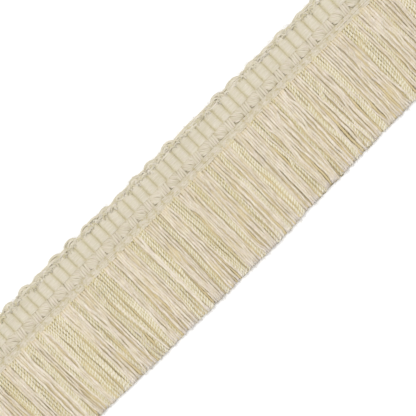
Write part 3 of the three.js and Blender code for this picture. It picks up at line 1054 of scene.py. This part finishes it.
# How far above the top strands' middles they lie, and how high their hidden upper ends do
STRAY_LIFT = 0.25
STRAY_START_Z = 1.2


def stray_strands(rng):
    """Soft strands that come out between the others part way down and lie across them."""
    roots = np.sort(rng.uniform(-LENGTH / 2 + 3, LENGTH / 2 - 3, STRAYS))
    x, y = strand_lines(rng, roots, STRAY_STEPS, lean=0.1, least=0)
    depth = ROOT_Y - y
    start = rng.uniform(2, 16, (STRAYS, 1))
    slant = rng.normal(0, 1.1, (STRAYS, 1))
    paths = laid(rng, x + slant * (depth - start) / 18, y, TOP_Z_MIDDLE + STRAY_LIFT)
    paths[..., 2] -= (TOP_Z_MIDDLE - STRAY_START_Z) * (1 - smooth(start - 3, start + 2.5, depth))
    return soft_yarns(rng, paths[:, 5:], radius=STRAY_RADIUS)


# The two lowest layers of strands: the height of their middles, how many strands they have, of how many
# steps, and how much painted shade they get
LOW_LAYERS = [
    {"name": "fringe_bed", "z": 1.15, "strands": 240, "steps": 16, "radius": 0.5, "deep": 0.6},
    {"name": "fringe_back", "z": 0.62, "strands": 208, "steps": 26, "radius": 0.45, "deep": 0.0},
]


def low_layer(rng, layer):
    """One of the lowest layers of strands."""
    roots = LEFT + (np.arange(layer["strands"]) + 0.5) * LENGTH / layer["strands"]
    x, y = strand_lines(rng, roots, layer["steps"], least=0.7, ragged=0.3)
    return soft_yarns(rng, laid(rng, x, y, layer["z"]), layer["radius"], sides=6, deep=layer["deep"])


# Loose fibres: how many at each strand's tip, off the strands' faces and along the looped edge
TIP_HAIRS_EACH = 14
SIDE_HAIRS = 700
EDGE_HAIRS = 500
HAIR_RADIUS = 0.035
TIP_HAIR_RADIUS = 0.05
HAIR_TAPER = np.array([1.0, 0.9, 0.55])
LOWEST_HAIR = 0.08


def hairs(rng, starts, directions, lengths, radius=HAIR_RADIUS):
    """Single loose fibres, each a thin curved tube from its start."""
    count = len(starts)
    s = np.linspace(0, 1, len(HAIR_TAPER))[None, :, None]
    bend = rng.normal(0, 0.25, (count, 1, 3)) * (1, 1, 0.3)
    paths = starts[:, None, :] + lengths[:, None, None] * (directions[:, None, :] * s + bend * s ** 2)
    paths[..., 0] = np.clip(paths[..., 0], LEFT, -LEFT)
    paths[..., 2] = np.clip(paths[..., 2], LOWEST_HAIR, None)
    width = radius * rng.uniform(0.7, 1.3, (count, 1)) * HAIR_TAPER
    return tubes(paths, width, sides=3, tone=rng.uniform(-1, 1, count))


def tip_hairs(rng, paths):
    """Fibres that splay from the cut ends of strands and lie over them."""
    ends = np.repeat(paths[:, -1], TIP_HAIRS_EACH, axis=0)
    back = rng.uniform(0, 1.5, len(ends))
    ends = ends + rng.uniform(-0.4, 0.4, ends.shape)
    ends[:, 1] += back
    ends[:, 2] += 0.3 * back
    ways = rng.normal(0, 0.4, ends.shape) * (1, 1, 0.5) + (0, -0.8, 0)
    return hairs(rng, ends, ways, rng.uniform(0.4, 0.9, len(ends)), radius=TIP_HAIR_RADIUS)


def side_hairs(rng, paths):
    """Fibres that stand off the strands' faces."""
    strand = rng.integers(0, len(paths), SIDE_HAIRS)
    step = rng.integers(6, paths.shape[1] - 2, SIDE_HAIRS)
    starts = paths[strand, step] + rng.normal(0, 0.15, (SIDE_HAIRS, 3)) * (1, 1, 0.5) + (0, 0, 0.3)
    ways = rng.normal(0, 0.5, (SIDE_HAIRS, 3)) * (1, 0.6, 0.15) + (0, -0.6, 0)
    return hairs(rng, starts, ways, rng.uniform(0.8, 2.0, SIDE_HAIRS))


def edge_hairs(rng):
    """Fibres along the looped edge."""
    x = rng.uniform(-LENGTH / 2 + 0.5, LENGTH / 2 - 0.5, EDGE_HAIRS)
    y = CREST_Y - rng.uniform(0.2, 1.2, EDGE_HAIRS)
    z = rng.uniform(0.6, 1.3, EDGE_HAIRS)
    ways = rng.normal(0, 0.6, (EDGE_HAIRS, 3)) * (1, 0.5, 0.4) + (0, 0.6, 0)
    return hairs(rng, np.stack([x, y, z], -1), ways, rng.uniform(0.4, 1.0, EDGE_HAIRS))


# Stage

FLOOR_HALF = 3000.0
WORLD_STRENGTH = 0.72
# In watts, metres and degrees
SOFTBOX = {"power": 7.6, "size": 0.8, "location": (0.0, 0.25, 1.1), "turn": (-12.8, 0, 0)}


def add_camera():
    """The photograph's camera, straight above the trim."""
    camera = bpy.data.objects.new("camera", bpy.data.cameras.new("camera"))
    camera.data.lens = LENS
    camera.data.sensor_width = SENSOR
    distance = PIXELS * MM_PER_PIXEL * LENS / SENSOR * MM
    camera.location = (VIEW_CENTRE[0] * MM, VIEW_CENTRE[1] * MM, distance + TOP_Z * MM)
    camera.rotation_euler = (0, 0, math.radians(-TRIM_ANGLE))
    camera.data.clip_start = 0.01
    camera.data.clip_end = 20
    bpy.context.scene.collection.objects.link(camera)
    bpy.context.scene.camera = camera


def add_softbox():
    light = bpy.data.lights.new("softbox", "AREA")
    light.energy = SOFTBOX["power"]
    light.size = SOFTBOX["size"]
    obj = bpy.data.objects.new("softbox", light)
    obj.location = SOFTBOX["location"]
    obj.rotation_euler = [math.radians(a) for a in SOFTBOX["turn"]]
    bpy.context.scene.collection.objects.link(obj)


def add_stage():
    """The white floor and the soft light."""
    corners = [(-1, -1, 0), (1, -1, 0), (1, 1, 0), (-1, 1, 0)]
    floor = add_mesh("floor", FLOOR_HALF * np.array(corners), [[0, 1, 2, 3]], (), plain_floor())
    world = bpy.data.worlds.new("soft_white")
    world.use_nodes = True
    world.node_tree.nodes["Background"].inputs["Color"].default_value = (1, 1, 1, 1)
    world.node_tree.nodes["Background"].inputs["Strength"].default_value = WORLD_STRENGTH
    bpy.context.scene.world = world
    add_softbox()
    bpy.context.scene.view_settings.view_transform = "Standard"


def main():
    add_camera()
    rng = np.random.default_rng(7)
    ground = ground_sheet(rng)
    heading = [
        yarn_piece("rib_warps", rib_warps(rng), HEADING_COTTON),
        yarn_piece("edge_loops", edge_loops(rng), HEADING_COTTON),
        yarn_piece("leaf_row", leaf_row(rng), SHADED_BUNDLE_COTTON),
        yarn_piece("anchor_warps", anchor_warps(rng), SHADED_BUNDLE_COTTON),
    ]
    twisted, soft, second = top_layers(rng)
    twisted_parts = [twisted_yarns(rng, twisted)]
    soft_parts = [top_soft_yarns(rng, soft), stray_strands(rng)]
    fringe = [
        yarn_piece("fringe_twisted", twisted_parts, TWIST_COTTON),
        yarn_piece("fringe_soft", soft_parts, SOFT_COTTON),
        yarn_piece("fringe_second", [second_yarns(rng, second)], SOFT_COTTON),
    ]
    for layer in LOW_LAYERS:
        fringe.append(yarn_piece(layer["name"], [low_layer(rng, layer)], SOFT_COTTON))
    loose = [tip_hairs(rng, np.concatenate([twisted[:, -2:], soft[:, -2:]])), side_hairs(rng, soft)]
    heading.append(yarn_piece("edge_hairs", [edge_hairs(rng)], FLUFF_COTTON))
    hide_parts("heading")
    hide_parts("fringe_upper")
    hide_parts("fringe_lower")
    fringe.append(yarn_piece("fringe_hairs", loose, FLUFF_COTTON))
    add_stage()


main()
